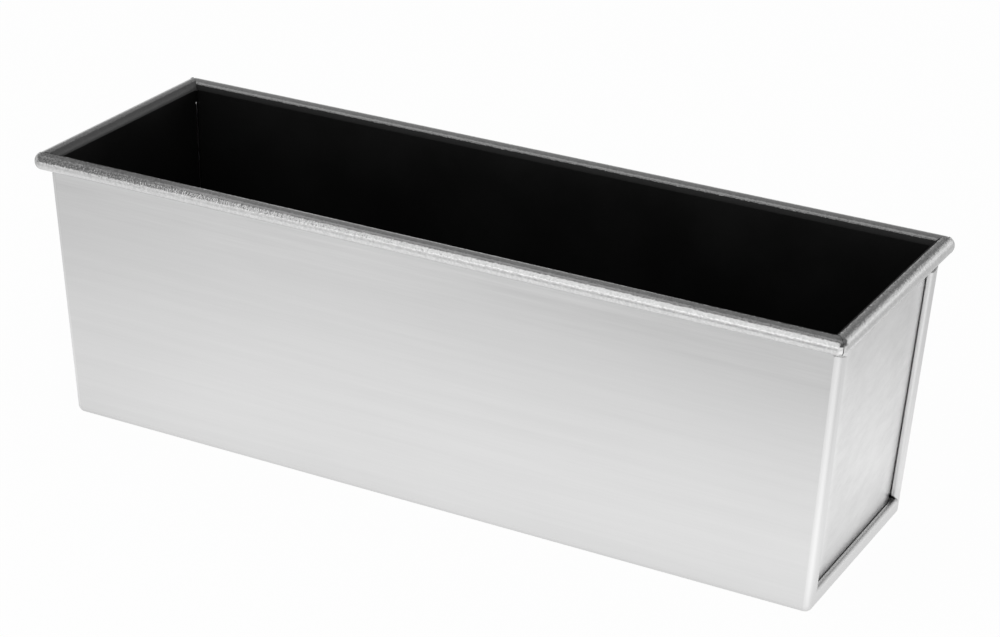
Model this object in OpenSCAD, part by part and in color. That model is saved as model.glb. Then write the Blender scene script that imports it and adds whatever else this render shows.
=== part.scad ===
// Long deep loaf pan: one folded sheet for the long walls and the floor, two end panels
// locked into its ends by flat seams, and a rim rolled over a steel wire.
// Millimetres, Z up. The origin is the middle of the underside, the length runs along X.

/* [Pan] */
// length over the rolled rim
rim_l = 298.7; // [200:0.1:420]
// width over the rolled rim
rim_w = 98; // [70:0.1:180]
// height from the underside to the top of the rim
pan_h = 100; // [60:0.1:160]
// outward lean of the two end panels in degrees
end_lean = 3.07; // [1:0.01:8]
// outward lean of the two long walls in degrees
side_lean = 2.09; // [1:0.01:8]

/* [Sheet] */
// thickness of the steel sheet
sheet_t = 0.8; // [0.6:0.05:1.2]
// thickness of the black lining
lining_t = 0.1; // [0.06:0.01:0.2]
// how much the corner bends are larger than three sheets
bend_extra = 0.4; // [0.3:0.05:1.2]

/* [Seam] */
// clearance between the folded layers of a seam
seam_gap = 0.05; // [0.03:0.01:0.1]
// how far the two hooks of an upright seam hold each other
lock_w = 1.85; // [1.4:0.05:3.5]
// how far the two hooks of a seam along the floor hold each other
floor_lock_w = 2.7; // [1.4:0.05:4]
// height of the corner clipped off an upright seam above the floor seam
notch_w = 1.6; // [1:0.1:3]
// width of that clipped corner
notch_d = 1.7; // [0.8:0.1:2]
// gap between the top of a seam and the rolled rim
seam_drop = 1.9; // [0.5:0.1:4]
// slope of the upper ends of the seams in degrees
seam_slope = 20; // [0:1:30]

/* [Rim] */
// diameter of the wire inside the rim
wire_d = 4.5; // [3:0.1:6]
// clearance between the wire and the rolled sheet
wire_gap = 0.05; // [0.03:0.01:0.1]
// how far the rolled sheet wraps past the outermost point in degrees
wrap = 130; // [100:1:134]
// radius of the rim's centre line at a corner, seen from above
rim_turn = 0.6; // [0.4:0.1:2]
// gap between the two rolled sheets at a corner
mitre_gap = 0.12; // [0.1:0.02:0.6]
// how far the edge of the end's rolled sheet is folded out round a corner
collar_t = 0.25; // [0.1:0.05:0.5]
// length of that fold along the rim
collar_w = 1.1; // [0.6:0.1:2]
// gap between the two ends of the wire
wire_joint = 0.6; // [0.2:0.1:2]

/* [Hidden] */
$fn = 48;
// a flat is this much thinner than a bend on each face, and runs this far into it
skin = 0.01;
lap = 0.1;
bend_r = 3 * sheet_t + bend_extra;
rim_r = wire_d / 2 + wire_gap + sheet_t;
rim_x = rim_l / 2 - rim_r;
rim_y = rim_w / 2 - rim_r;
rim_z = pan_h - rim_r;
// height of a seam over the panel it is folded on, and radius of its folded edge
seam_h = 3 * sheet_t + 3 * seam_gap;
nose_r = (seam_h - seam_gap) / 2;
seam_w = bend_r + lock_w + nose_r;
nose_u = seam_w - nose_r;
floor_nose_u = bend_r + floor_lock_w;
// bends of the end panel's own hook and the short upright between them
foot_r = sheet_t + 0.05;
hook_up = 0.2;
hook_r = 2 * nose_r - foot_r - hook_up;
// foot of the leaning outer faces
wall_y = rim_y - (rim_r - sheet_t) / cos(side_lean) - rim_z * tan(side_lean);
panel_c = rim_r - seam_h - sheet_t;
end_x = rim_x - panel_c / cos(end_lean) - rim_z * tan(end_lean);
panel_top = (rim_z + panel_c * sin(end_lean)) / cos(end_lean);
// lean of the upright corner inside the end plane, and what it adds to the bend there
edge_lean = atan(tan(side_lean) * cos(end_lean));
edge_turn = asin(sin(side_lean) * sin(end_lean));
edge_u = bend_r * (1 - sin(edge_turn)) / cos(edge_turn);
foot_u = bend_r * (1 - sin(end_lean)) / cos(end_lean);
// centre of the ball where three bends meet
ball_y = wall_y - bend_r * (1 - sin(side_lean)) / cos(side_lean);
ball_x = end_x - bend_r * cos(end_lean) + foot_u * sin(end_lean);
ball_h = (foot_u - edge_u * sin(edge_lean)) / cos(edge_lean);
seam_top = (pan_h - 2 * rim_r - seam_drop) / cos(end_lean) / cos(edge_lean);
// the meeting line of two seams, from the ball's centre to the clipped corner
floor_seam_w = floor_nose_u + nose_r;
meet_y = seam_w - notch_d - edge_u;
meet_z = floor_seam_w - foot_u;
mitre_a = 180 - atan2(meet_z * cos(edge_lean), meet_y - meet_z * sin(edge_lean));
meet_l = meet_z / sin(mitre_a);
// height range of the flat part of a long wall, measured along the wall
wall_low = bend_r * (1 - sin(side_lean)) / cos(side_lean);
wall_top = (rim_y - wall_y) * sin(side_lean) + rim_z * cos(side_lean);
side_k = tan(end_lean) * cos(side_lean);
// clearance between the lining and the sheet, and between linings that meet
film_gap = 0.02;
film_end = 0.12;
// flat stretch of an end panel starts this far from the outer faces of its neighbours
flat_side = edge_u - hook_r + foot_r;
flat_low = foot_u - hook_r + foot_r;
BARE = [0.80, 0.80, 0.79];
ROLLED = [0.78, 0.78, 0.78];
WIRE = [0.62, 0.62, 0.63];
BLACK = [0.03, 0.03, 0.035];

// which piece to draw

// flat pie piece between two directions
module wedge(reach, from, to) {
    middle = (from + to) / 2;
    polygon([[0, 0],
        [reach * cos(from), reach * sin(from)],
        [1.5 * reach * cos(middle), 1.5 * reach * sin(middle)],
        [reach * cos(to), reach * sin(to)]]);
}

// bent sheet seen on edge, up to a right angle
module bend(outer, thick, from, to) {
    intersection() {
        difference() {
            circle(outer);
            circle(outer - thick);
        }
        wedge(3 * outer, from, to);
    }
}

// rolled sheet seen on edge, open where it comes back to the wall
module curl(lean) {
    rotate(-lean)
        difference() {
            circle(rim_r);
            circle(rim_r - sheet_t);
            wedge(3 * rim_r, 180, 360 - wrap);
        }
}

// the part of a rim profile that turns round a corner
module corner_turn() {
    translate([rim_x - rim_turn, rim_y - rim_turn, rim_z])
        rotate_extrude(angle = 90, $fn = 24)
            intersection() {
                translate([rim_turn, 0])
                    children();
                translate([0, -2 * rim_r])
                    square([4 * rim_r, 4 * rim_r]);
            }
}

// slanted block that ends a rim run at a corner, on the side of the end or of the wall
module mitre_block(gap, end_side) {
    translate([rim_x, rim_y, rim_z])
        rotate([0, 0, 45])
            translate([-5 * rim_r, end_side ? -10 * rim_r + gap / 2 : -gap / 2, -2 * rim_r])
                cube([10 * rim_r, 10 * rim_r, 4 * rim_r]);
}

// rim profile run along a long wall
module long_run(gap) {
    difference() {
        union() {
            translate([rim_turn - rim_x, rim_y, rim_z])
                rotate([90, 0, 90])
                    linear_extrude(2 * (rim_x - rim_turn))
                        children();
            corner_turn()
                children();
            mirror([1, 0, 0])
                corner_turn()
                    children();
        }
        mitre_block(gap, true);
        mirror([1, 0, 0])
            mitre_block(gap, true);
    }
}

// rim profile run along an end panel
module end_run(gap) {
    difference() {
        union() {
            translate([rim_x, rim_y - rim_turn, rim_z])
                rotate([90, 0, 0])
                    linear_extrude(2 * (rim_y - rim_turn))
                        children();
            corner_turn()
                children();
            mirror([0, 1, 0])
                corner_turn()
                    children();
        }
        mitre_block(gap, false);
        mirror([0, 1, 0])
            mitre_block(gap, false);
    }
}

// edge of an end's rolled sheet, folded out where it meets the long side's
module rim_collar() {
    difference() {
        intersection() {
            union() {
                translate([rim_x, rim_y - rim_turn, rim_z])
                    rotate([90, 0, 0])
                        linear_extrude(3 * rim_r)
                            collar_ring();
                corner_turn()
                    collar_ring();
            }
            translate([rim_x, rim_y, rim_z])
                rotate([0, 0, 45])
                    translate([-5 * rim_r, -collar_w - mitre_gap / 2, -2 * rim_r])
                        cube([10 * rim_r, collar_w + mitre_gap, 4 * rim_r]);
        }
        mitre_block(mitre_gap, false);
    }
}

// the folded-out edge seen on edge, round the outer side of the rim only
module collar_ring() {
    difference() {
        circle(rim_r + collar_t);
        circle(rim_r - sheet_t / 2);
        wedge(3 * rim_r, 65, 160);
        wedge(3 * rim_r, 155, 255);
    }
}

// the leaning frame of the right end: X out of the end, Z up along it
module at_end() {
    translate([end_x, 0, 0])
        rotate([0, end_lean, 0])
            children();
}

// frame along the upright corner inside the end frame
module at_edge() {
    translate([0, wall_y, 0])
        rotate([-edge_lean, 0, 0])
            children();
}

// frame of the slanted line on which two seams of an end meet
module at_mitre() {
    translate([0, ball_y, foot_u])
        rotate([mitre_a, 0, 0])
            children();
}

// the trough sheet's side of a locked seam, cut across
module outer_hook(turn, bend_u, tip_u) {
    translate([-bend_r, -bend_u])
        bend(bend_r, sheet_t, 0, 90 - turn);
    translate([-sheet_t, -tip_u])
        square([sheet_t, tip_u - bend_u]);
    translate([-nose_r, -tip_u])
        intersection() {
            difference() {
                circle(nose_r);
                circle(nose_r - sheet_t);
            }
            translate([-2 * nose_r, -4 * nose_r])
                square([4 * nose_r, 4 * nose_r]);
        }
    translate([-2 * nose_r, -tip_u])
        square([sheet_t, tip_u - bend_u - seam_gap]);
}

// the end panel's side of a locked seam, cut across
module inner_hook(bend_u, tip_u) {
    translate([foot_r - seam_h - sheet_t, hook_r - foot_r - bend_u])
        bend(foot_r, sheet_t, 90, 180);
    translate([foot_r - seam_h - sheet_t, hook_r - sheet_t - bend_u])
        square([hook_up, sheet_t]);
    translate([-sheet_t - seam_gap - hook_r, -bend_u])
        bend(hook_r, sheet_t, 0, 90);
    translate([-2 * sheet_t - seam_gap, 2 * seam_gap - tip_u])
        square([sheet_t, tip_u - 2 * seam_gap - bend_u]);
}

// everything below or above the slanted meeting line, up to a distance along it
module mitre_side(lower, gap, reach = 4 * seam_w) {
    at_mitre()
        translate([-5 * bend_r, -bend_r / 4, lower ? -gap : -8 * seam_w + gap])
            cube([6 * bend_r, reach + bend_r / 4, 8 * seam_w]);
}

// what is clipped off the folded edge of an upright seam above the floor seam
module notch() {
    inner = -(seam_w - notch_d);
    low = (floor_seam_w + inner * sin(edge_lean)) / cos(edge_lean);
    at_edge()
        translate([-2 * seam_h, 0, 0])
            rotate([90, 0, 90])
                linear_extrude(3 * seam_h)
                    polygon([[inner, low],
                        [inner - 2 * notch_d, low + 2 * notch_w],
                        [inner - 2 * notch_d, 0],
                        [inner, 0]]);
}

// everything above the sloping upper end of a seam
module above_seam() {
    at_edge()
        translate([-4 * bend_r, 0, seam_top])
            rotate([seam_slope, 0, 0])
                translate([0, -4 * seam_w, 0])
                    cube([8 * bend_r, 8 * seam_w, 4 * seam_w]);
}

module upright_seam() {
    difference() {
        at_edge()
            translate([0, 0, ball_h])
                linear_extrude(seam_top - ball_h)
                    outer_hook(edge_turn, edge_u, nose_u);
        mitre_side(true, 0, meet_l);
        notch();
        above_seam();
    }
}

module floor_seam() {
    difference() {
        translate([0, -ball_y, 0])
            rotate([-90, 0, 0])
                linear_extrude(2 * ball_y)
                    outer_hook(end_lean, foot_u, floor_nose_u);
        mitre_side(false, 0);
        mirror([0, 1, 0])
            mitre_side(false, 0);
    }
}

// rounded corner where the long bend, the upright bend and the floor bend meet
module ball_corner() {
    intersection() {
        translate([ball_x, ball_y, bend_r])
            difference() {
                sphere(bend_r + skin, $fn = 32);
                sphere(bend_r - sheet_t - skin, $fn = 32);
            }
        translate([ball_x - lap, ball_y - lap, 0])
            cube([2 * bend_r, 2 * bend_r, 4 * bend_r]);
        at_end()
            at_edge()
                translate([-3 * bend_r, -3 * bend_r, ball_h + lap - 4 * bend_r])
                    cube([6 * bend_r, 6 * bend_r, 4 * bend_r]);
    }
}

// leaning plate on a long wall, from one depth to another below its outer face
module wall_plate(depth, thick) {
    translate([0, wall_y, 0])
        rotate([-side_lean, 0, 0])
            translate([0, -depth, 0])
                rotate([90, 0, 0])
                    linear_extrude(thick)
                        children();
}

// outline of the flat stretch of a long wall; it narrows under the rolled rim
module wall_outline() {
    shoulder = wall_top - rim_r / 4;
    low = wall_low - lap;
    top = wall_top + lap;
    narrow = ball_x + lap;
    wide = narrow + (shoulder - low) * side_k;
    neck = rim_x - rim_r - 2 * mitre_gap;
    polygon([[-narrow, low], [narrow, low],
        [wide, shoulder], [neck, shoulder], [neck, top],
        [-neck, top], [-neck, shoulder], [-wide, shoulder]]);
}

module long_bend(outer, thick, reach) {
    translate([-reach, ball_y, bend_r])
        rotate([90, 0, 90])
            linear_extrude(2 * reach)
                bend(outer, thick, -90, -side_lean);
}

module floor_plate(low, thick, reach) {
    translate([-reach, -ball_y - lap, low + skin])
        cube([2 * reach, 2 * ball_y + 2 * lap, thick - 2 * skin]);
}

module trough_side() {
    wall_plate(skin, sheet_t - 2 * skin)
        wall_outline();
    long_bend(bend_r, sheet_t, ball_x);
    long_run(mitre_gap)
        curl(side_lean);
}

module trough_end() {
    at_end() {
        upright_seam();
        mirror([0, 1, 0])
            upright_seam();
        floor_seam();
    }
    ball_corner();
    mirror([0, 1, 0])
        ball_corner();
}

module trough_sheet() {
    color(BARE)
        union() {
            floor_plate(0, sheet_t, ball_x + lap);
            trough_side();
            mirror([0, 1, 0])
                trough_side();
            trough_end();
            mirror([1, 0, 0])
                trough_end();
        }
}

// half width of the end plane at a height along it, less a distance from the outer wall face
function end_half(up, less) = wall_y + up * tan(edge_lean) - less / cos(edge_lean);

// outline of the flat part of an end panel; it widens above the seams
module panel_outline() {
    low = flat_low - lap;
    side = flat_side - lap;
    step = seam_top + 0.3;
    wide = sheet_t + seam_gap + 0.02;
    top = panel_top + lap;
    polygon([[-end_half(low, side), low],
        [end_half(low, side), low],
        [end_half(step, side), step],
        [end_half(step, wide), step],
        [end_half(top, wide), top],
        [-end_half(top, wide), top],
        [-end_half(step, wide), step],
        [-end_half(step, side), step]]);
}

// flat sheet laid in the end plane, from one depth to another below the seam's face
module end_plate(depth, thick) {
    translate([-depth, 0, 0])
        rotate([90, 0, 90])
            linear_extrude(thick)
                children();
}

// a bent profile run up both sides and across the floor of an end panel
module panel_edges() {
    slack = 4 * seam_gap;
    for (side = [0, 1])
        mirror([0, side, 0])
            difference() {
                at_edge()
                    translate([0, 0, ball_h + slack])
                        linear_extrude(seam_top - ball_h - slack)
                            children(0);
                mitre_side(true, 3 * seam_gap);
                above_seam();
            }
    difference() {
        translate([0, slack - ball_y, 0])
            rotate([-90, 0, 0])
                linear_extrude(2 * (ball_y - slack))
                    children(1);
        mitre_side(false, 3 * seam_gap);
        mirror([0, 1, 0])
            mitre_side(false, 3 * seam_gap);
    }
}

module end_panel() {
    color(BARE)
        union() {
            at_end() {
                end_plate(seam_h + sheet_t - skin, sheet_t - 2 * skin)
                    panel_outline();
                panel_edges() {
                    inner_hook(edge_u, nose_u);
                    inner_hook(foot_u, floor_nose_u);
                }
            }
            end_run(mitre_gap)
                curl(end_lean);
            rim_collar();
            mirror([0, 1, 0])
                rim_collar();
        }
}

module right_end_panel() {
    end_panel();
}

module left_end_panel() {
    mirror([1, 0, 0])
        end_panel();
}

module rim_wire() {
    color(WIRE)
        difference() {
            union() {
                long_run(0)
                    circle(wire_d / 2, $fn = 32);
                mirror([0, 1, 0])
                    long_run(0)
                        circle(wire_d / 2, $fn = 32);
                end_run(0)
                    circle(wire_d / 2, $fn = 32);
                mirror([1, 0, 0])
                    end_run(0)
                        circle(wire_d / 2, $fn = 32);
            }
            translate([-wire_joint / 2, rim_y - rim_r, rim_z - rim_r])
                cube([wire_joint, 2 * rim_r, 2 * rim_r]);
        }
}

// where a wall's lining stops short of an end panel, at a height
function film_x(up) = end_x - (seam_h + sheet_t + film_gap + lining_t) / cos(end_lean)
    + up * tan(end_lean) - film_end;

module wall_film_outline() {
    low = wall_low - lap;
    narrow = film_x(sheet_t) - lap;
    wide = narrow + (wall_top - low) * side_k;
    polygon([[-narrow, low], [narrow, low], [wide, wall_top], [-wide, wall_top]]);
}

module lining_side() {
    wall_plate(sheet_t + film_gap + skin, lining_t - 2 * skin)
        wall_film_outline();
    long_bend(bend_r - sheet_t - film_gap, lining_t, film_x(sheet_t));
}

module trough_lining() {
    color(BLACK)
        union() {
            floor_plate(sheet_t + film_gap, lining_t, film_x(sheet_t));
            lining_side();
            mirror([0, 1, 0])
                lining_side();
        }
}

// lining over the bend at the edge of an end panel, cut across
module film_bend(bend_u) {
    translate([foot_r - seam_h - sheet_t, hook_r - foot_r - bend_u])
        bend(foot_r + film_gap + lining_t, lining_t, 110, 180);
}

module end_lining() {
    low = flat_low - lap;
    side = flat_side - lap;
    color(BLACK)
        at_end()
            union() {
                end_plate(seam_h + sheet_t + film_gap + lining_t - skin, lining_t - 2 * skin)
                    polygon([[-end_half(low, side), low],
                        [end_half(low, side), low],
                        [end_half(panel_top, side), panel_top],
                        [-end_half(panel_top, side), panel_top]]);
                panel_edges() {
                    film_bend(edge_u);
                    film_bend(foot_u);
                }
            }
}

module right_end_lining() {
    end_lining();
}

module left_end_lining() {
    mirror([1, 0, 0])
        end_lining();
}

trough_sheet();
right_end_panel();
left_end_panel();
rim_wire();
trough_lining();
right_end_lining();
left_end_lining();
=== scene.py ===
"""Deep loaf pan folded from bright steel sheet: finishes, studio light and camera.

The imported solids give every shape.  This script dresses them: satin rolled sheet on
the walls and the end panels, a grainy rolled rim, drawn wire and a black non-stick
coat, and stands the pan in a plain pale studio.
"""

import logging
import math
from dataclasses import dataclass
from enum import Enum

import bpy
from mathutils import Matrix, Vector


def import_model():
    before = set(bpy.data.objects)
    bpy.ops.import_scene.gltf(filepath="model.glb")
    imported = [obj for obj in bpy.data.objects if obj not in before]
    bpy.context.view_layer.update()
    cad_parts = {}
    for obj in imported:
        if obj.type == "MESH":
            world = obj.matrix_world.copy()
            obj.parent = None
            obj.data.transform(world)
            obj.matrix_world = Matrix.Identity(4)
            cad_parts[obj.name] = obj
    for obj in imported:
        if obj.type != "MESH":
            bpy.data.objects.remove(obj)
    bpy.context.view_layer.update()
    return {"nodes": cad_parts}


Node = bpy.types.Node
Socket = bpy.types.NodeSocket
Tree = bpy.types.NodeTree

LOG = logging.getLogger("loaf_pan")
MM = 0.001

# outer sizes of the pan and radius of its rolled rim
PAN_LENGTH = 298.7 * MM
PAN_WIDTH = 98.0 * MM
PAN_HEIGHT = 100.0 * MM
RIM_RADIUS = 3.1 * MM
# height of the rim's centre line
RIM_UP = PAN_HEIGHT - RIM_RADIUS


class Axis(Enum):
    """A direction of the pan, as the index of its coordinate."""

    LENGTH = 0
    WIDTH = 1
    HEIGHT = 2


class Graph:
    """A node tree with short calls for the nodes that the finishes use."""

    def __init__(self, tree: Tree) -> None:
        """Wraps a tree.

        Args:
            tree: The node tree to add nodes to.
        """
        self.tree = tree

    def node(self, kind: str, **settings: object) -> Node:
        """Adds a node.

        Args:
            kind: Blender's name of the node type.
            **settings: Properties to set on the node.

        Returns:
            The new node.
        """
        made = self.tree.nodes.new(kind)
        for name, value in settings.items():
            setattr(made, name, value)
        return made

    def feed(self, socket: Socket, value: object) -> None:
        """Links a socket to another one, or sets its number or colour.

        Args:
            socket: The input socket.
            value: An output socket, a number or a tuple.
        """
        if isinstance(value, Socket):
            self.tree.links.new(value, socket)
        else:
            socket.default_value = value

    def math(self, operation: str, *values: object) -> Socket:
        """Adds a Math node.

        Args:
            operation: The operation's name.
            *values: One to three numbers or sockets.

        Returns:
            The result's socket.
        """
        made = self.node("ShaderNodeMath", operation=operation)
        for index, value in enumerate(values):
            self.feed(made.inputs[index], value)
        return made.outputs[0]

    def ramp(self, value: object, begin: object, end: object, before: object = 0.0,
             after: object = 1.0) -> Socket:
        """Adds a smooth step from one result to another.

        Args:
            value: The number that is read.
            begin: Where the step begins.
            end: Where the step ends, which may lie below its beginning.
            before: The result at the beginning.
            after: The result at the end.

        Returns:
            The result's socket.
        """
        made = self.node("ShaderNodeMapRange", interpolation_type="SMOOTHSTEP")
        for socket, number in zip(made.inputs, (value, begin, end, before, after)):
            self.feed(socket, number)
        return made.outputs[0]

    def blend(self, factor: object, first: object, second: object) -> Socket:
        """Mixes two numbers.

        Args:
            factor: How much of the second number shows.
            first: The first number.
            second: The second number.

        Returns:
            The mixed number's socket.
        """
        made = self.node("ShaderNodeMix", data_type="FLOAT")
        self.feed(made.inputs[0], factor)
        self.feed(made.inputs[2], first)
        self.feed(made.inputs[3], second)
        return made.outputs[0]

    def vary(self, pattern: object, amount: float, middle: float) -> Socket:
        """Lets a number swing about its middle with a pattern.

        Args:
            pattern: A pattern that runs from 0 to 1.
            amount: The full swing.
            middle: The number where the pattern is 0.5.

        Returns:
            The number's socket.
        """
        return self.math("MULTIPLY_ADD", pattern, amount, middle - amount / 2)

    def noise(self, vector: object, scale: object, detail: float = 2.0,
              roughness: float = 0.5) -> Socket:
        """Adds a noise pattern.

        Args:
            vector: The coordinates.
            scale: Waves per metre.
            detail: How many finer layers are added.
            roughness: How strong the finer layers are.

        Returns:
            The pattern's value, around 0.5.
        """
        made = self.node("ShaderNodeTexNoise")
        self.feed(made.inputs["Vector"], vector)
        self.feed(made.inputs["Scale"], scale)
        self.feed(made.inputs["Detail"], detail)
        self.feed(made.inputs["Roughness"], roughness)
        return made.outputs[0]

    def scaled(self, vector: object, factor: object) -> Socket:
        """Scales coordinates alike along every axis.

        Args:
            vector: The coordinates.
            factor: The factor.

        Returns:
            The new coordinates' socket.
        """
        made = self.node("ShaderNodeVectorMath", operation="SCALE")
        self.feed(made.inputs[0], vector)
        self.feed(made.inputs["Scale"], factor)
        return made.outputs[0]

    def stretch(self, vector: object, scale: tuple[float, float, float],
                turn: tuple[float, float, float] = (0.0, 0.0, 0.0)) -> Socket:
        """Stretches and turns coordinates.

        Args:
            vector: The coordinates.
            scale: The factor along each axis, applied after the turn.
            turn: Turns about each axis in degrees.

        Returns:
            The new coordinates' socket.
        """
        turned = self.node("ShaderNodeVectorRotate", rotation_type="EULER_XYZ")
        self.feed(turned.inputs["Vector"], vector)
        turned.inputs["Rotation"].default_value = tuple(math.radians(a) for a in turn)
        made = self.node("ShaderNodeVectorMath", operation="MULTIPLY")
        self.feed(made.inputs[0], turned.outputs[0])
        made.inputs[1].default_value = scale
        return made.outputs[0]

    def grey(self, tone: object) -> Socket:
        """Makes a neutral colour.

        Args:
            tone: How light it is.

        Returns:
            The colour's socket.
        """
        made = self.node("ShaderNodeCombineColor")
        for index in range(3):
            self.feed(made.inputs[index], tone)
        return made.outputs[0]

    def part(self, vector: object, axis: Axis) -> Socket:
        """Takes one coordinate out of a vector.

        Args:
            vector: The coordinates.
            axis: Which one.

        Returns:
            The coordinate's socket.
        """
        made = self.node("ShaderNodeSeparateXYZ")
        self.feed(made.inputs[0], vector)
        return made.outputs[axis.value]

    def relief(self, shader: Node, height: object) -> None:
        """Gives a shader's surface a fine relief.

        Args:
            shader: The shader's node.
            height: The relief's height in millimetres.
        """
        made = self.node("ShaderNodeBump")
        made.inputs["Strength"].default_value = 1.0
        made.inputs["Distance"].default_value = MM
        self.feed(made.inputs["Height"], height)
        self.feed(shader.inputs["Normal"], made.outputs[0])

    def use(self, group: Tree, **values: object) -> Node:
        """Places a shader node group.

        Args:
            group: The group.
            **values: Values for its inputs, with underscores for spaces.

        Returns:
            The group's node.
        """
        made = self.node("ShaderNodeGroup")
        made.node_tree = group
        for name, value in values.items():
            self.feed(made.inputs[name.replace("_", " ")], value)
        return made


@dataclass(frozen=True)
class Step:
    """A smooth step of a result between two places."""

    begin: float
    end: float
    before: float = 0.0
    after: float = 1.0

    def read(self, graph: Graph, value: object) -> Socket:
        """Adds the step to a graph, read at a value."""
        return graph.ramp(value, self.begin, self.end, self.before, self.after)


class Effects:
    """Shader node groups that more than one finish uses."""

    def __init__(self) -> None:
        """Builds every group once."""
        self.brushing = self._brushing()
        self.grain = self._grain()
        self.clouds = self._clouds()

    @staticmethod
    def _group(name: str, inputs: dict[str, float],
               outputs: tuple[str, ...]) -> tuple[Graph, Node, Node]:
        """Makes an empty group.

        Args:
            name: The group's name.
            inputs: Names of its numbers and their default values.
            outputs: Names of its results.

        Returns:
            The group's graph, its input node and its output node.
        """
        tree = bpy.data.node_groups.new(name, "ShaderNodeTree")
        tree.interface.new_socket("Vector", in_out="INPUT", socket_type="NodeSocketVector")
        for label, value in inputs.items():
            socket = tree.interface.new_socket(label, in_out="INPUT", socket_type="NodeSocketFloat")
            socket.default_value = value
        for label in outputs:
            tree.interface.new_socket(label, in_out="OUTPUT", socket_type="NodeSocketFloat")
        graph = Graph(tree)
        return graph, graph.node("NodeGroupInput"), graph.node("NodeGroupOutput")

    def _brushing(self) -> Tree:
        """Builds the fine straight lines left by rolling and polishing the sheet.

        Returns:
            The group, with a height and a tone that both run from 0 to 1.
        """
        graph, start, end = self._group("sheet brushing", {"Fineness": 1.0}, ("Height", "Tone"))
        vector = graph.scaled(start.outputs["Vector"], start.outputs["Fineness"])
        fine = graph.noise(vector, scale=1.0, detail=3.0, roughness=0.6)
        broad = graph.noise(vector, scale=0.22)
        graph.feed(end.inputs["Height"], graph.blend(0.35, fine, broad))
        graph.feed(end.inputs["Tone"], graph.blend(0.6, fine, broad))
        return graph.tree

    def _grain(self) -> Tree:
        """Builds the orange-peel grain of a sheet that was rolled tightly round a wire.

        Returns:
            The group, with a height and a tone that both run from 0 to 1.
        """
        graph, start, end = self._group("rolled grain", {"Pitch": 1.0}, ("Height", "Tone"))
        vector = graph.scaled(start.outputs["Vector"], start.outputs["Pitch"])
        fine = graph.noise(vector, scale=1250.0, roughness=0.6)
        coarse = graph.noise(vector, scale=520.0, roughness=0.6)
        height = graph.blend(0.45, fine, coarse)
        graph.feed(end.inputs["Height"], height)
        graph.feed(end.inputs["Tone"], graph.ramp(height, begin=0.36, end=0.64))
        return graph.tree

    def _clouds(self) -> Tree:
        """Builds the slow cloudy changes of tone over a sheet.

        Returns:
            The group, with a tone from 0 to 1.
        """
        graph, start, end = self._group("sheet clouds", {"Pitch": 18.0}, ("Tone",))
        cloud = graph.noise(start.outputs["Vector"], start.outputs["Pitch"], detail=4.0,
                            roughness=0.55)
        graph.feed(end.inputs["Tone"], graph.ramp(cloud, begin=0.28, end=0.72))
        return graph.tree


def fresh_material(name: str) -> tuple[bpy.types.Material, Graph]:
    """Makes a material with an empty node tree.

    Args:
        name: The material's name.

    Returns:
        The material and its graph.
    """
    material = bpy.data.materials.new(name)
    material.use_nodes = True
    material.node_tree.nodes.clear()
    return material, Graph(material.node_tree)


def surface(graph: Graph) -> tuple[Node, Socket]:
    """Adds the one shader of a finish.

    Args:
        graph: The material's graph.

    Returns:
        The Principled shader's node and the object coordinates.
    """
    shader = graph.node("ShaderNodeBsdfPrincipled")
    output = graph.node("ShaderNodeOutputMaterial")
    graph.feed(output.inputs["Surface"], shader.outputs[0])
    return shader, graph.node("ShaderNodeTexCoord").outputs["Object"]


@dataclass(frozen=True)
class Wall:
    """Middle surface of a pair of leaning walls that bend into the floor.

    Attributes:
        axis: The direction in which the walls face each other.
        foot: Distance of the surface from the middle of the pan, at the floor's level.
        lean: Outward lean in degrees.
        bend_up: Height of the bend's centre over the underside.
        bend_radius: Radius of the bend on the middle of the sheet.
        edge: How softly the inside ends at the surface.
    """

    axis: Axis
    foot: float
    lean: float
    bend_up: float = 2.8 * MM
    bend_radius: float = 2.4 * MM
    edge: Step = Step(0.0, 0.1 * MM)

    def past(self, graph: Graph, place: Socket) -> Socket:
        """Measures how far outside the wall's middle surface a point lies.

        Args:
            graph: The material's graph.
            place: The object coordinates.

        Returns:
            The distance, negative inside the pan.
        """
        out = graph.math("ABSOLUTE", graph.part(place, self.axis))
        middle = graph.math("MULTIPLY_ADD", graph.part(place, Axis.HEIGHT),
                            math.tan(math.radians(self.lean)), self.foot)
        return graph.math("SUBTRACT", out, middle)

    def inside(self, graph: Graph, place: Socket) -> Socket:
        """Finds what lies between the two walls and above the floor's bend.

        Args:
            graph: The material's graph.
            place: The object coordinates.

        Returns:
            The mask.
        """
        up = graph.part(place, Axis.HEIGHT)
        beyond = graph.math("ADD", self.past(graph, place), self.bend_radius)
        beyond = graph.math("MAXIMUM", beyond, 0.0)
        below = graph.math("MAXIMUM", graph.math("SUBTRACT", self.bend_up, up), 0.0)
        reach = graph.math("SQRT", graph.math("ADD", graph.math("MULTIPLY", beyond, beyond),
                                              graph.math("MULTIPLY", below, below)))
        return self.edge.read(graph, graph.math("SUBTRACT", self.bend_radius, reach))


LONG_WALLS = Wall(Axis.WIDTH, foot=39.67 * MM, lean=2.09)
END_WALLS = Wall(Axis.LENGTH, foot=138.37 * MM, lean=3.07)


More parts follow.
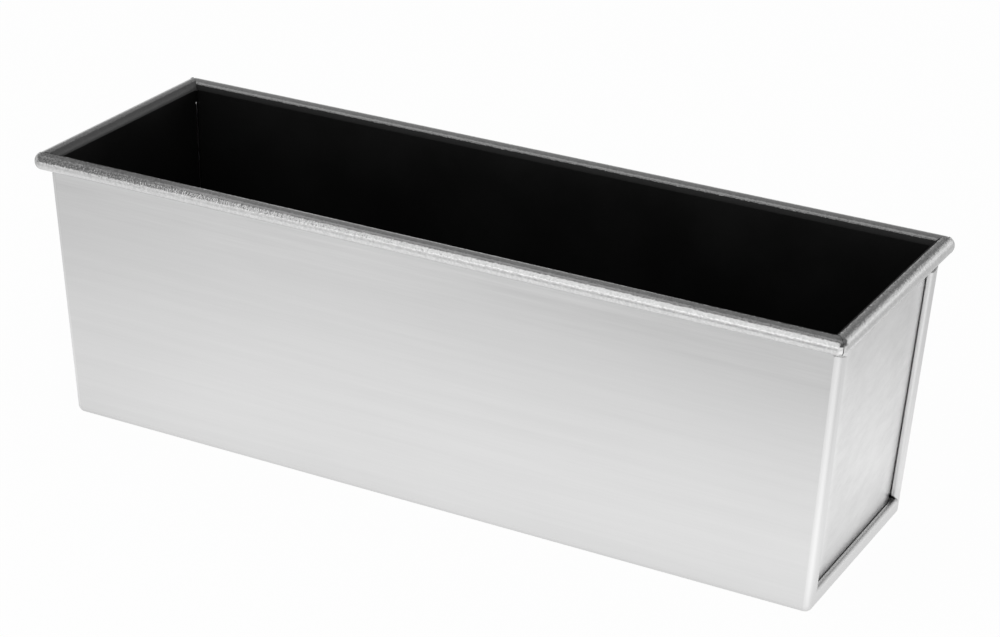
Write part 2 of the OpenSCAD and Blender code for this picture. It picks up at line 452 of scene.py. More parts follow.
@dataclass(frozen=True)
class CoatEdge:
    """How far over a rolled rim the black coat goes.

    Angles run round the rim's centre line, from its inner side over the top.

    Attributes:
        axis: The direction from the middle of the pan to the rim.
        turn: Angle in degrees at which the coat ends.
        cover: How densely the coat covers the steel.
        rise: How many degrees further it goes at both ends of the front rim.
        climb: Where the front rim's coat climbs, by the distance from its middle.
        uneven: How far in radians the coat's edge wavers.
        uneven_front: The same on the front rim.
        spray: How far in radians the speck pattern moves the edge.
        spray_high: The same where the edge has climbed.
        drift: How much the speck pattern is raised at the left end of the front rim.
        drift_place: Where along the front rim that begins.
        threshold: Value of the speck pattern that leaves the edge where it is.
        sharpness: How softly the edge ends.
        speck: How softly a speck ends, and how dense it is.
    """

    axis: Axis
    turn: float
    cover: float
    rise: float = 0.0
    climb: Step = Step(-30.0 * MM, 125.0 * MM)
    uneven: float = 0.16
    uneven_front: float = 0.3
    spray: float = 0.5
    spray_high: float = 2.2
    drift: float = 0.0
    drift_place: Step = Step(-78.0 * MM, -105.0 * MM)
    threshold: float = 0.55
    sharpness: Step = Step(-0.05, 0.05)
    speck: Step = Step(-0.05, 0.15, after=0.8)

    @property
    def rim_out(self) -> float:
        """Distance of the rim's centre line from the middle of the pan."""
        size = PAN_WIDTH if self.axis is Axis.WIDTH else PAN_LENGTH
        return size / 2 - RIM_RADIUS

    def mask(self, graph: Graph, place: Socket, waver: Socket, specks: Socket) -> Socket:
        """Finds where the coat covers the steel.

        Args:
            graph: The material's graph.
            place: The object coordinates.
            waver: A pattern around 0.5 that makes the coat's edge uneven.
            specks: A fine pattern around 0.5 that scatters specks beyond the edge.

        Returns:
            The coat's mask.
        """
        up = graph.part(place, Axis.HEIGHT)
        inside = graph.math("MULTIPLY", LONG_WALLS.inside(graph, place),
                            END_WALLS.inside(graph, place))
        out = graph.math("ABSOLUTE", graph.part(place, self.axis))
        angle = graph.math("ARCTAN2", graph.math("SUBTRACT", up, RIM_UP),
                           graph.math("SUBTRACT", self.rim_out, out))
        front = graph.math("LESS_THAN", graph.part(place, Axis.WIDTH), 0.0)
        along = graph.math("ABSOLUTE", graph.part(place, Axis.LENGTH))
        higher = graph.math("MULTIPLY", front, self.climb.read(graph, along))
        short = graph.math("SUBTRACT", self._limit(graph, front, higher, waver), angle)
        flank = graph.math("MULTIPLY", self.sharpness.read(graph, short), self.cover)
        scattered = self._scatter(graph, place, front, higher, specks)
        short = graph.math("ADD", scattered, short)
        flank = graph.math("MAXIMUM", flank, self.speck.read(graph, short))
        return graph.blend(graph.math("GREATER_THAN", up, RIM_UP), inside, flank)

    def _limit(self, graph: Graph, front: Socket, higher: Socket, waver: Socket) -> Socket:
        """Finds the angle at which the coat ends.

        Args:
            graph: The material's graph.
            front: The front half's mask.
            higher: How far the coat has climbed, from 0 to 1.
            waver: A pattern around 0.5 that makes the coat's edge uneven.

        Returns:
            The angle in radians.
        """
        uneven = graph.math("MULTIPLY_ADD", front, self.uneven_front - self.uneven, self.uneven)
        limit = graph.math("MULTIPLY_ADD", graph.math("SUBTRACT", waver, 0.5), uneven,
                           math.radians(self.turn))
        return graph.math("MULTIPLY_ADD", higher, math.radians(self.rise), limit)

    def _scatter(self, graph: Graph, place: Socket, front: Socket, higher: Socket,
                 specks: Socket) -> Socket:
        """Finds how far beyond the edge the specks reach.

        Args:
            graph: The material's graph.
            place: The object coordinates.
            front: The front half's mask.
            higher: How far the coat has climbed, from 0 to 1.
            specks: A fine pattern around 0.5.

        Returns:
            The reach in radians, negative between the specks.
        """
        reach = graph.math("MULTIPLY_ADD", higher, self.spray_high - self.spray, self.spray)
        left = self.drift_place.read(graph, graph.part(place, Axis.LENGTH))
        dense = graph.math("MULTIPLY_ADD", graph.math("MULTIPLY", left, front), self.drift,
                           graph.math("SUBTRACT", specks, self.threshold))
        return graph.math("MULTIPLY", dense, reach)


@dataclass(frozen=True)
class CoatLook:
    """Black non-stick coat, as numbers that the finishes share."""

    tone: float = 0.0035
    roughness: float = 0.40
    specular: float = 0.42


SATIN_COAT = CoatLook()
THIN_DULL_COAT = CoatLook(roughness=0.6, specular=0.05)


@dataclass(frozen=True)
class HookEdges:
    """Folded edges of an end panel that show only through the linings' corner gap.

    Attributes:
        side: Where the edges begin, by the distance past the long walls.
        top: Where they end below the rim.
        left: How much coat is left on them, by the speck pattern.
        speck_scale: Specks per metre.
    """

    side: Step = Step(-1.9 * MM, -1.8 * MM)
    top: Step = Step(89.4 * MM, 89.0 * MM)
    left: Step = Step(0.52, 0.66, before=1.0, after=0.75)
    speck_scale: float = 260.0

    def mask(self, graph: Graph, place: Socket) -> Socket:
        """Finds where the coat has run over the edges.

        Args:
            graph: The material's graph.
            place: The object coordinates.

        Returns:
            The mask, with a few thin specks.
        """
        edge = self.side.read(graph, LONG_WALLS.past(graph, place))
        below = self.top.read(graph, graph.part(place, Axis.HEIGHT))
        pattern = graph.noise(place, self.speck_scale, detail=3.0, roughness=0.7)
        return graph.math("MULTIPLY", graph.math("MULTIPLY", edge, below),
                          self.left.read(graph, pattern))


@dataclass(frozen=True)
class SeamPocket:
    """Painted shade in the small pockets where an upright seam meets the floor seam.

    Attributes:
        inner: The pocket's side towards the middle of the end panel.
        outer: Its side towards the corner.
        low: Its lower end.
        high: Its upper end.
        depth: How deep it lies, by the distance past the end walls.
        painted_shade: How much darker the painted shade makes the pocket.
    """

    inner: Step = Step(33.9 * MM, 34.5 * MM)
    outer: Step = Step(36.5 * MM, 36.1 * MM)
    low: Step = Step(6.75 * MM, 7.0 * MM)
    high: Step = Step(9.0 * MM, 8.3 * MM)
    depth: Step = Step(2.4 * MM, 1.6 * MM)
    # painted shade: the pocket's steel is drawn nearly black, for the shade in the recess
    painted_shade: float = 0.96

    def clean(self, graph: Graph, place: Socket) -> Socket:
        """Finds how much the painted shade in the pocket darkens the steel.

        Args:
            graph: The material's graph.
            place: The object coordinates.

        Returns:
            The factor on the steel's tone.
        """
        up = graph.part(place, Axis.HEIGHT)
        out = graph.math("ABSOLUTE", graph.part(place, Axis.WIDTH))
        across = graph.math("MULTIPLY", self.inner.read(graph, out), self.outer.read(graph, out))
        height = graph.math("MULTIPLY", self.low.read(graph, up), self.high.read(graph, up))
        deep = self.depth.read(graph, END_WALLS.past(graph, place))
        pocket = graph.math("MULTIPLY", graph.math("MULTIPLY", across, height), deep)
        return graph.math("MULTIPLY_ADD", pocket, -self.painted_shade, 1.0)


@dataclass(frozen=True)
class SheetSteel:
    """Satin aluminised sheet with a rolled rim and a black coat inside.

    Attributes:
        name: The material's name.
        edge: Where the coat ends on the rim.
        coat: The coat's look.
        tone: How light the walls are.
        roughness: How rough the walls are.
        lines: How fine the brushed lines are along each axis.
        turn: How the brushed lines are turned, in degrees.
        line_height: How high the brushed lines stand, in millimetres.
        streak: How strong the lines' tone is low on the walls.
        streak_top: The same near the rim.
        streak_from: Height at which the lines grow stronger.
        streak_to: Height at which they are strongest.
        cloud: How strong the cloudy tone is.
        cloud_rough: How strong the cloudy roughness is.
        cloud_stretch: How the clouds are stretched along each axis.
        rim: Where the walls turn into the rim, by height.
        rim_tone: How light the rim is.
        rim_swing: How strong the rim's grain is in its tone.
        rim_roughness: How rough the rim is.
        rim_rough_swing: How strong the rim's grain is in its roughness.
        rim_grain: How high the rim's grain stands, in millimetres.
        grain_pitch: How fine the rim's grain is.
        specks: How sharp the specks of the coat are.
        nose: Where the folded edges of the seams begin, by the distance past the end walls.
        nose_highlight_tone: How light those edges are drawn, a painted highlight.
        nose_roughness: How rough they are.
        seam_light: How much lighter the end panel is painted beside the upright seams, a painted
            light.
        seam_light_place: Where that painted light lies, by the distance past the long walls.
        pocket: The painted shade in the pockets where the seams meet.
        hooks: Folded edges that are coated over, where the sheet has them.
    """

    name: str
    edge: CoatEdge
    coat: CoatLook = SATIN_COAT
    tone: float = 0.80
    roughness: float = 0.32
    lines: tuple[float, float, float] = (40.0, 1500.0, 1500.0)
    turn: tuple[float, float, float] = (0.0, 0.0, 0.0)
    line_height: float = 0.006
    streak: float = 0.05
    streak_top: float = 0.26
    streak_from: float = 72.0 * MM
    streak_to: float = 93.0 * MM
    cloud: float = 0.03
    cloud_rough: float = 0.08
    cloud_stretch: tuple[float, float, float] = (0.5, 1.0, 1.0)
    rim: Step = Step(93.3 * MM, 94.0 * MM)
    rim_tone: float = 0.72
    rim_swing: float = 0.12
    rim_roughness: float = 0.11
    rim_rough_swing: float = 0.06
    rim_grain: float = 0.13
    grain_pitch: float = 1.4
    specks: Step = Step(0.37, 0.63)
    nose: Step = Step(0.5 * MM, 0.7 * MM)
    # painted highlight: the folded edges of the seams are drawn lighter than the walls
    nose_highlight_tone: float = 0.86
    nose_roughness: float = 0.42
    # painted light: the end panels are drawn lighter beside their upright seams
    seam_light: float = 0.0
    seam_light_place: Step = Step(-17.0 * MM, -9.0 * MM)
    pocket: SeamPocket = SeamPocket()
    hooks: HookEdges | None = None

    def build(self, effects: Effects) -> bpy.types.Material:
        """Makes the material.

        Args:
            effects: The shared groups.

        Returns:
            The material.
        """
        material, graph = fresh_material(self.name)
        shader, place = surface(graph)
        rim = self.rim.read(graph, graph.part(place, Axis.HEIGHT))
        nose = self.nose.read(graph, END_WALLS.past(graph, place))
        brushing = graph.use(effects.brushing, Vector=graph.stretch(place, self.lines, self.turn))
        grain = graph.use(effects.grain, Vector=place, Pitch=self.grain_pitch)
        cloud = graph.use(effects.clouds,
                          Vector=graph.stretch(place, self.cloud_stretch, self.turn)).outputs["Tone"]
        coated = self._coated(graph, place, grain.outputs["Tone"])
        steel = graph.blend(rim, self._wall_tone(graph, place, nose, brushing.outputs["Tone"], cloud),
                            graph.vary(grain.outputs["Tone"], self.rim_swing, self.rim_tone))
        # painted shade darkens the steel in the small pockets where the seams meet
        steel = graph.math("MULTIPLY", steel, self.pocket.clean(graph, place))
        graph.feed(shader.inputs["Base Color"],
                   graph.grey(graph.blend(coated, steel, self.coat.tone)))
        wall_rough = graph.blend(nose, graph.vary(cloud, self.cloud_rough, self.roughness),
                                 self.nose_roughness)
        rim_rough = graph.vary(grain.outputs["Tone"], self.rim_rough_swing, self.rim_roughness)
        rough = graph.blend(rim, wall_rough, rim_rough)
        graph.feed(shader.inputs["Roughness"], graph.blend(coated, rough, self.coat.roughness))
        graph.feed(shader.inputs["Metallic"], graph.math("SUBTRACT", 1.0, coated))
        shader.inputs["Specular IOR Level"].default_value = self.coat.specular
        graph.relief(shader, graph.blend(
            rim, graph.math("MULTIPLY", brushing.outputs["Height"], self.line_height),
            graph.math("MULTIPLY", grain.outputs["Height"], self.rim_grain)))
        return material

    def _coated(self, graph: Graph, place: Socket, grain: Socket) -> Socket:
        """Finds where the black coat covers the sheet.

        Args:
            graph: The material's graph.
            place: The object coordinates.
            grain: The rim's grain, from 0 to 1.

        Returns:
            The mask.
        """
        waver = graph.blend(0.55, graph.noise(place, scale=60.0), grain)
        dots = graph.blend(0.15, graph.noise(place, scale=2000.0, roughness=0.7),
                           graph.noise(place, scale=600.0, roughness=0.6))
        coated = self.edge.mask(graph, place, waver, self.specks.read(graph, dots))
        if self.hooks is not None:
            coated = graph.math("MAXIMUM", coated, self.hooks.mask(graph, place))
        return coated

    def _wall_tone(self, graph: Graph, place: Socket, nose: Socket, brushing: Socket,
                   cloud: Socket) -> Socket:
        """Finds how light the bare walls and seams are.

        Args:
            graph: The material's graph.
            place: The object coordinates.
            nose: The mask of the seams' folded edges.
            brushing: The brushed lines, from 0 to 1.
            cloud: The cloudy tone, from 0 to 1.

        Returns:
            The tone.
        """
        tone = graph.vary(cloud, self.cloud, self.tone)
        streak = graph.ramp(graph.part(place, Axis.HEIGHT), self.streak_from, self.streak_to,
                            self.streak, self.streak_top)
        tone = graph.math("MULTIPLY_ADD", graph.math("SUBTRACT", brushing, 0.5), streak, tone)
        # painted light: the end panel is drawn lighter beside the upright seams
        seam_light_place = self.seam_light_place.read(graph, LONG_WALLS.past(graph, place))
        tone = graph.math("MULTIPLY_ADD", seam_light_place, self.seam_light, tone)
        # painted highlight on the folded edges of the seams
        return graph.blend(nose, tone, self.nose_highlight_tone)


def end_steel(name: str, edge: CoatEdge, coat: CoatLook, rim_grain: float) -> SheetSteel:
    """Describes the finish of an end panel, whose lines run nearly level across it.

    Args:
        name: The material's name.
        edge: Where the coat ends on the panel's rim.
        coat: The coat's look there.
        rim_grain: How high the rim's grain stands, in millimetres.

    Returns:
        The finish.
    """
    # The end panels get a painted light beside their upright seams.
    return SheetSteel(name, edge, coat, lines=(1000.0, 1000.0, 400.0), turn=(78.0, 0.0, 0.0),
                      streak=0.26, cloud=0.09, rim_grain=rim_grain, seam_light=0.12,
                      hooks=HookEdges())


@dataclass(frozen=True)
class DrawnWire:
    """Plain drawn wire, seen only where the rolled rim is open."""

    name: str = "rim wire steel"
    tone: float = 0.45
    tone_swing: float = 0.12
    roughness: float = 0.45
    rough_swing: float = 0.1
    lines: tuple[float, float, float] = (300.0, 300.0, 3000.0)

    def build(self, effects: Effects) -> bpy.types.Material:
        """Makes the material.

        Args:
            effects: The shared groups.

        Returns:
            The material.
        """
        material, graph = fresh_material(self.name)
        shader, place = surface(graph)
        brushing = graph.use(effects.brushing, Vector=graph.stretch(place, self.lines))
        drawn = brushing.outputs["Tone"]
        graph.feed(shader.inputs["Base Color"],
                   graph.grey(graph.vary(drawn, self.tone_swing, self.tone)))
        graph.feed(shader.inputs["Roughness"],
                   graph.vary(drawn, self.rough_swing, self.roughness))
        shader.inputs["Metallic"].default_value = 1.0
        return material


@dataclass(frozen=True)
class BlackCoat:
    """Satin black non-stick coat with a fine tooth.

    Attributes:
        name: The material's name.
        look: The coat's look.
        cloud_pitch: Clouds per metre.
        cloud_swing: How strong they are, as a share of the coat's tone.
        rough_swing: How strong they are in the roughness.
        tooth_scale: How fine the tooth is, as waves per metre.
        tooth: How high it stands, in millimetres.
    """

    name: str = "black coat"
    look: CoatLook = SATIN_COAT
    cloud_pitch: float = 30.0
    cloud_swing: float = 0.4
    rough_swing: float = 0.08
    tooth_scale: float = 3500.0
    tooth: float = 0.008

    def build(self, effects: Effects) -> bpy.types.Material:
        """Makes the material.

        Args:
            effects: The shared groups.

        Returns:
            The material.
        """
        material, graph = fresh_material(self.name)
        shader, place = surface(graph)
        cloud = graph.use(effects.clouds, Vector=place, Pitch=self.cloud_pitch).outputs["Tone"]
        swing = self.look.tone * self.cloud_swing
        graph.feed(shader.inputs["Base Color"],
                   graph.grey(graph.vary(cloud, swing, self.look.tone)))
        graph.feed(shader.inputs["Roughness"],
                   graph.vary(cloud, self.rough_swing, self.look.roughness))
        shader.inputs["Specular IOR Level"].default_value = self.look.specular
        fleck = graph.noise(place, self.tooth_scale, roughness=0.6)
        graph.relief(shader, graph.math("MULTIPLY", fleck, self.tooth))
        return material


def dress(piece: bpy.types.Object, material: bpy.types.Material) -> None:
    """Gives a piece one material all over.

    Args:
        piece: The piece.
        material: Its finish.
    """
    piece.data.materials.clear()
    piece.data.materials.append(material)
    LOG.info("%s wears %s", piece.name, material.name)


@dataclass
class Pan:
    """The pan: trough, two end panels, rim wire and black linings."""

    trough: str = "trough_sheet"
    right_end: str = "right_end_panel"
    left_end: str = "left_end_panel"
    wire: str = "rim_wire"
    linings: tuple[str, ...] = ("trough_lining", "right_end_lining", "left_end_lining")
    trough_finish: SheetSteel = SheetSteel(
        "trough steel", CoatEdge(Axis.WIDTH, turn=39.0, cover=0.97, rise=48.0, drift=0.36),
        THIN_DULL_COAT, tone=0.78, streak=0.09)
    right_finish: SheetSteel = end_steel(
        "right end steel", CoatEdge(Axis.LENGTH, turn=69.0, cover=0.97, spray=2.6,
                                    spray_high=2.6), THIN_DULL_COAT, rim_grain=0.18)
    left_finish: SheetSteel = end_steel(
        "left end steel", CoatEdge(Axis.LENGTH, turn=64.0, cover=0.88, spray=0.8,
                                   spray_high=1.6), SATIN_COAT, rim_grain=0.13)
    wire_finish: DrawnWire = DrawnWire()
    lining_finish: BlackCoat = BlackCoat()

    def finish(self, nodes: dict[str, bpy.types.Object], effects: Effects) -> None:
        """Dresses every piece.

        Args:
            nodes: The frame's nodes by name.
            effects: The shared groups.
        """
        dress(nodes[self.trough], self.trough_finish.build(effects))
        dress(nodes[self.right_end], self.right_finish.build(effects))
        dress(nodes[self.left_end], self.left_finish.build(effects))
        dress(nodes[self.wire], self.wire_finish.build(effects))
        coat = self.lining_finish.build(effects)
        for name in self.linings:
            dress(nodes[name], coat)


@dataclass(frozen=True)
class SoftBox:
    """A large soft lamp that faces the pan, placed by its direction.

    Attributes:
        name: The lamp's name.
        azimuth: Its direction in degrees, from the back over the right.
        elevation: Its height over the floor in degrees.
        width: Its width in metres.
        height: Its height in metres.
        distance: How far it stands from the pan in metres.
        level: How bright it is all over, as a share of white.
    """

    name: str
    azimuth: float
    elevation: float
    width: float
    height: float
    distance: float
    level: float

    def build(self) -> None:
        """Makes the lamp."""
        turn, lift = math.radians(self.azimuth), math.radians(self.elevation)
        towards = Vector((math.sin(turn) * math.cos(lift), math.cos(turn) * math.cos(lift),
                          math.sin(lift)))
        light = bpy.data.lights.new(self.name, "AREA")
        light.shape = "RECTANGLE"
        light.size = self.width
        light.size_y = self.height
        light.energy = self.level * math.pi * self.width * self.height
        lamp = bpy.data.objects.new(self.name, light)
        lamp.location = towards * self.distance
        lamp.rotation_euler = towards.to_track_quat("Z", "Y").to_euler()
        lamp.visible_camera = False
        bpy.context.scene.collection.objects.link(lamp)


@dataclass(frozen=True)
class FloorGlow:
    """How light the floor looks in the steel: light and shade painted by its place round the pan's
    foot.

    A wall mirrors the floor close to its foot low down, and the floor farther off
    higher up.  Each step is read at a distance from the foot or along the pan.

    Attributes:
        half_length: Half the foot's length.
        half_width: Half the foot's width.
        right_weight: How much more a distance to the right counts.
        back_weight: How much more a distance to the back counts.
        fade: The level by the distance.
        corner_right: Share of the right in the direction of the light front corner.
        corner_front: Share of the front in it.
        corner: How much lighter that corner is, by how well a place faces it.
        corner_begin: Where it begins in front of the foot.
        contact_shadow: How much darker the floor is right at the foot, a painted shadow.
        contact_front: How much of that is left in front.
        far: Where the front floor counts as far.
        far_right: How much darker the far floor is, towards the right.
        near_left: How much darker the near floor is, towards the left.
        top: Which floor the top of the front wall mirrors.
        top_right: How much darker that floor is, towards the right.
        beyond: Which floor the rim alone mirrors.
        beyond_gain: How much lighter that floor is.
    """

    half_length: float = 139.0 * MM
    half_width: float = 37.0 * MM
    right_weight: float = 1.4
    back_weight: float = 1.3
    fade: Step = Step(40.0 * MM, 270.0 * MM, 0.97, 0.63)
    corner_right: float = 0.883
    corner_front: float = 0.469
    corner: Step = Step(0.6, 0.97, after=0.28)
    corner_begin: Step = Step(0.0, 12.0 * MM)
    contact_shadow: Step = Step(6.0 * MM, 26.0 * MM, before=0.17, after=0.0)
    contact_front: Step = Step(0.0, 6.0 * MM, before=1.0, after=0.3)
    far: Step = Step(80.0 * MM, 240.0 * MM)
    far_right: Step = Step(-120.0 * MM, 50.0 * MM, after=0.17)
    near_left: Step = Step(-90.0 * MM, -170.0 * MM, after=0.07)
    top: Step = Step(170.0 * MM, 198.0 * MM)
    top_right: Step = Step(-200.0 * MM, 20.0 * MM, after=0.3)
    beyond: Step = Step(205.0 * MM, 250.0 * MM)
    beyond_gain: float = 0.2

    @staticmethod
    def _past(graph: Graph, coordinate: Socket, side: float, half: float) -> Socket:
        """Measures how far a place lies outside one side of the foot.

        Args:
            graph: The graph to add to.
            coordinate: The coordinate across that side.
            side: 1 or -1, for the side of the higher or lower coordinates.
            half: Half the foot's size in that direction.

        Returns:
            The distance, at least 0.
        """
        return graph.math("MAXIMUM", graph.math("MULTIPLY_ADD", coordinate, side, -half), 0.0)

    def level(self, graph: Graph, place: Socket) -> Socket:
        """Finds how light the floor looks.

        Args:
            graph: The graph to add to.
            place: The floor's coordinates.

        Returns:
            The level.
        """
        across, along = graph.part(place, Axis.WIDTH), graph.part(place, Axis.LENGTH)
        right = self._past(graph, along, 1.0, self.half_length)
        left = self._past(graph, along, -1.0, self.half_length)
        back = self._past(graph, across, 1.0, self.half_width)
        front = self._past(graph, across, -1.0, self.half_width)
        sides = graph.math("MULTIPLY_ADD", right, self.right_weight, left)
        behind = graph.math("MULTIPLY", back, self.back_weight)
        square = graph.math("MULTIPLY_ADD", behind, behind, graph.math("POWER", sides, 2.0))
        square = graph.math("MULTIPLY_ADD", front, front, square)
        level = self.fade.read(graph, graph.math("SQRT", square))
        # painted pool of light off the front right corner
        level = graph.math("ADD", level, self._corner_light(graph, right, front))
        near = graph.math("MAXIMUM", graph.math("MAXIMUM", right, left),
                          graph.math("MAXIMUM", back, front))
        # painted shadow on the floor's glow, right at the foot
        contact_shadow = graph.math("MULTIPLY", self.contact_shadow.read(graph, near),
                             self.contact_front.read(graph, front))
        level = graph.math("SUBTRACT", level, contact_shadow)
        # painted darker stretches of floor in front
        return graph.math("SUBTRACT", level, self._front_dim(graph, along, front))

    def _corner_light(self, graph: Graph, right: Socket, front: Socket) -> Socket:
        """Finds how much lighter the floor is off the front right corner.

        Args:
            graph: The graph to add to.
            right: The distance to the right of the foot.
            front: The distance in front of the foot.

        Returns:
            What is added to the level.
        """
        length = graph.math("SQRT", graph.math("MULTIPLY_ADD", right, right,
                                               graph.math("MULTIPLY", front, front)))
        facing = graph.math("DIVIDE", graph.math("MULTIPLY_ADD", right, self.corner_right,
                                                 graph.math("MULTIPLY", front, self.corner_front)),
                            graph.math("ADD", length, 1e-5))
        return graph.math("MULTIPLY", self.corner.read(graph, facing),
                          self.corner_begin.read(graph, front))

    def _front_dim(self, graph: Graph, along: Socket, front: Socket) -> Socket:
        """Finds how much darker the floor in front is.

        Args:
            graph: The graph to add to.
            along: The coordinate along the pan.
            front: The distance in front of the foot.

        Returns:
            What is taken off the level.
        """
        far = self.far.read(graph, front)
        dim = graph.math("MULTIPLY", far, self.far_right.read(graph, along))
        near_left = graph.math("MULTIPLY", graph.math("SUBTRACT", 1.0, far),
                               self.near_left.read(graph, along))
        top = graph.math("MULTIPLY", self.top.read(graph, front),
                         self.top_right.read(graph, along))
        dim = graph.math("ADD", graph.math("ADD", dim, near_left), top)
        beyond = self.beyond.read(graph, front)
        dim = graph.math("MULTIPLY", dim, graph.math("SUBTRACT", 1.0, beyond))
        return graph.math("MULTIPLY_ADD", beyond, -self.beyond_gain, dim)


@dataclass(frozen=True)
class Room:
    """Room that the steel mirrors: a white horizon that fades into a grey ceiling.

    Attributes:
        ceiling: The ceiling's level.
        ceiling_back: How much lighter it is towards the back.
        ceiling_left: How much lighter it is towards the left.
        panel: How much lighter the panel over the pan is.
        panel_front: The panel's front edge, by direction.
        panel_back: Its back edge.
        panel_up: How high a direction has to point to meet it.
        horizon: How high the white reaches, by direction from the front to the back.
    """

    ceiling: float = 0.15
    ceiling_back: float = 0.1
    ceiling_left: float = 0.15
    panel: float = 0.28
    panel_front: Step = Step(-0.45, -0.30)
    panel_back: Step = Step(0.12, -0.06)
    panel_up: Step = Step(0.6, 0.8)
    horizon: Step = Step(-0.5, -0.2, 0.12, 0.37)

    def level(self, graph: Graph, direction: Socket) -> Socket:
        """Finds how light the room is.

        Args:
            graph: The world's graph.
            direction: The direction looked in.

        Returns:
            The level.
        """
        along, across, up = (graph.part(direction, axis) for axis in Axis)
        ceiling = graph.math("MULTIPLY_ADD", across, self.ceiling_back, self.ceiling)
        leftward = graph.math("MAXIMUM", graph.math("MULTIPLY", along, -1.0), 0.0)
        ceiling = graph.math("MULTIPLY_ADD", leftward, self.ceiling_left, ceiling)
        above = graph.math("MULTIPLY", self.panel_front.read(graph, across),
                           self.panel_back.read(graph, across))
        above = graph.math("MULTIPLY", above, self.panel_up.read(graph, up))
        ceiling = graph.math("MULTIPLY_ADD", above, self.panel, ceiling)
        fading = graph.ramp(up, 0.0, self.horizon.read(graph, across))
        return graph.blend(fading, 1.0, ceiling)


@dataclass
class Studio:
    """Plain pale floor, two soft lamps and the room.

    Attributes:
        floor_half: Half the floor's size.
        floor_white: How much of the floor is seen as plain white, the rest keeps its shadow.
        daylight: How much soft light the room gives.
        glow: The floor as the steel mirrors it.
        room: The room as the steel mirrors it.
        boxes: The soft lamps.
    """

    floor_half: float = 6.0
    floor_white: float = 0.96
    daylight: float = 0.75
    glow: FloorGlow = FloorGlow()
    room: Room = Room()
    boxes: tuple[SoftBox, ...] = (
        SoftBox("front soft lamp", azimuth=180.0, elevation=30.5, width=1.18, height=0.97,
                distance=0.93, level=0.86),
        SoftBox("side soft lamp", azimuth=35.0, elevation=20.0, width=1.42, height=0.62,
                distance=1.6, level=0.5),
    )

    def build(self) -> None:
        """Makes the floor, the room and the lamps."""
        self._floor()
        self._world()
        for box in self.boxes:
            box.build()

    def _floor(self) -> None:
        """Makes the floor under the pan."""
        half = self.floor_half
        mesh = bpy.data.meshes.new("floor")
        corners = [(-half, -half, 0.0), (half, -half, 0.0), (half, half, 0.0), (-half, half, 0.0)]
        mesh.from_pydata(corners, [], [(0, 1, 2, 3)])
        floor = bpy.data.objects.new("floor", mesh)
        bpy.context.scene.collection.objects.link(floor)
        floor.data.materials.append(self._floor_material())

    @staticmethod
    def _seen(graph: Graph, path: Node) -> Socket:
        """Finds the rays that show the background.

        Args:
            graph: The graph to add to.
            path: Its Light Path node.

        Returns:
            1 for camera, glossy and transmission rays.
        """
        return graph.math("MAXIMUM", path.outputs["Is Camera Ray"],
                          graph.math("MAXIMUM", path.outputs["Is Glossy Ray"],
                                     path.outputs["Is Transmission Ray"]))

    def _floor_material(self) -> bpy.types.Material:
        """Makes the floor's white, which keeps the pan's shadow.

        Returns:
            The material.
        """
        material, graph = fresh_material("pale floor")
        place = graph.node("ShaderNodeTexCoord").outputs["Object"]
        path = graph.node("ShaderNodeLightPath")
        matt = graph.node("ShaderNodeBsdfDiffuse")
        matt.inputs["Color"].default_value = (1.0, 1.0, 1.0, 1.0)
        white = graph.node("ShaderNodeEmission")
        graph.feed(white.inputs["Strength"],
                   graph.blend(path.outputs["Is Camera Ray"], self.glow.level(graph, place), 1.0))
        mixed = graph.node("ShaderNodeMixShader")
        graph.feed(mixed.inputs[0],
                   graph.math("MULTIPLY", self._seen(graph, path), self.floor_white))
        graph.feed(mixed.inputs[1], matt.outputs[0])
        graph.feed(mixed.inputs[2], white.outputs[0])
        output = graph.node("ShaderNodeOutputMaterial")
        graph.feed(output.inputs["Surface"], mixed.outputs[0])
        return material

    def _world(self) -> None:
        """Makes the world: the room where it is seen, and even light elsewhere."""
        world = bpy.data.worlds.new("studio room")
        bpy.context.scene.world = world
        world.use_nodes = True
        world.node_tree.nodes.clear()
        graph = Graph(world.node_tree)
        direction = graph.node("ShaderNodeTexCoord").outputs["Generated"]
        path = graph.node("ShaderNodeLightPath")
        back = graph.node("ShaderNodeBackground")
        graph.feed(back.inputs["Strength"],
                   graph.blend(self._seen(graph, path), self.daylight,
                               self.room.level(graph, direction)))
        output = graph.node("ShaderNodeOutputWorld")
        graph.feed(output.inputs["Surface"], back.outputs[0])


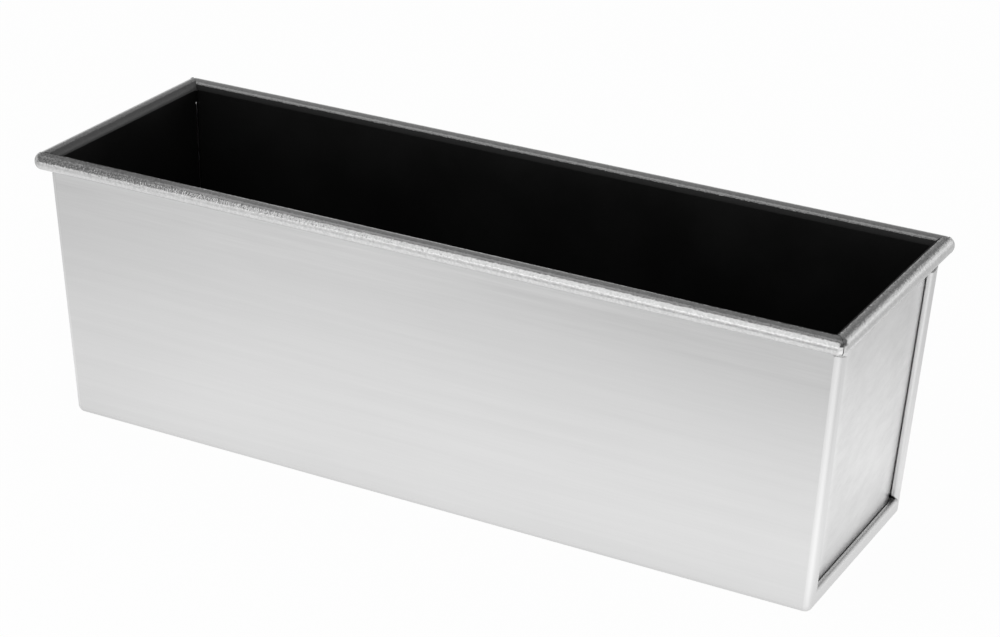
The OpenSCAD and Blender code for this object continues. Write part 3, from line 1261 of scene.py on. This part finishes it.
@dataclass
class PhotoCamera:
    """The camera at the photograph's viewing angle.

    Attributes:
        focal_px: Focal length in pixels of the photograph.
        frame_px: The photograph's width in pixels.
        azimuth: Direction in degrees, from the front towards the right.
        elevation: Height over the pan in degrees.
        roll: Turn of the picture in degrees.
        aim_right: How far right of the origin the camera aims.
        aim_up: How far above the origin it aims.
        distance: How far off it stands.
        sensor: Width of its sensor in millimetres.
        clip: Nearest and farthest distance that it shows, in metres.
    """

    focal_px: float = 2729.7
    frame_px: int = 1000
    azimuth: float = 27.606
    elevation: float = 24.048
    roll: float = 1.566
    aim_right: float = 8.382 * MM
    aim_up: float = 49.549 * MM
    distance: float = 950.796 * MM
    sensor: float = 36.0
    clip: tuple[float, float] = (0.01, 50.0)

    def build(self) -> None:
        """Makes the camera and puts it to use."""
        turn, lift, roll = (math.radians(a) for a in (self.azimuth, self.elevation, self.roll))
        back = Vector((math.sin(turn) * math.cos(lift), -math.cos(turn) * math.cos(lift),
                       math.sin(lift)))
        level = Vector((0.0, 0.0, 1.0)).cross(back).normalized()
        upright = back.cross(level)
        right = math.cos(roll) * level + math.sin(roll) * upright
        up = math.cos(roll) * upright - math.sin(roll) * level
        place = back * self.distance + right * self.aim_right + up * self.aim_up
        data = bpy.data.cameras.new("photo camera")
        data.sensor_fit = "HORIZONTAL"
        data.sensor_width = self.sensor
        data.lens = self.focal_px * self.sensor / self.frame_px
        data.clip_start, data.clip_end = self.clip
        camera = bpy.data.objects.new("photo camera", data)
        camera.matrix_world = Matrix((
            (right.x, up.x, back.x, place.x),
            (right.y, up.y, back.y, place.y),
            (right.z, up.z, back.z, place.z),
            (0.0, 0.0, 0.0, 1.0)))
        bpy.context.scene.collection.objects.link(camera)
        bpy.context.scene.camera = camera


def main() -> None:
    """Loads the frame, dresses the pan and sets up the studio."""
    logging.basicConfig(level=logging.INFO, format="%(message)s")
    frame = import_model()
    bpy.context.scene.view_settings.view_transform = "Standard"
    PhotoCamera().build()
    Studio().build()
    Pan().finish(frame["nodes"], Effects())


if __name__ == "__main__":
    main()
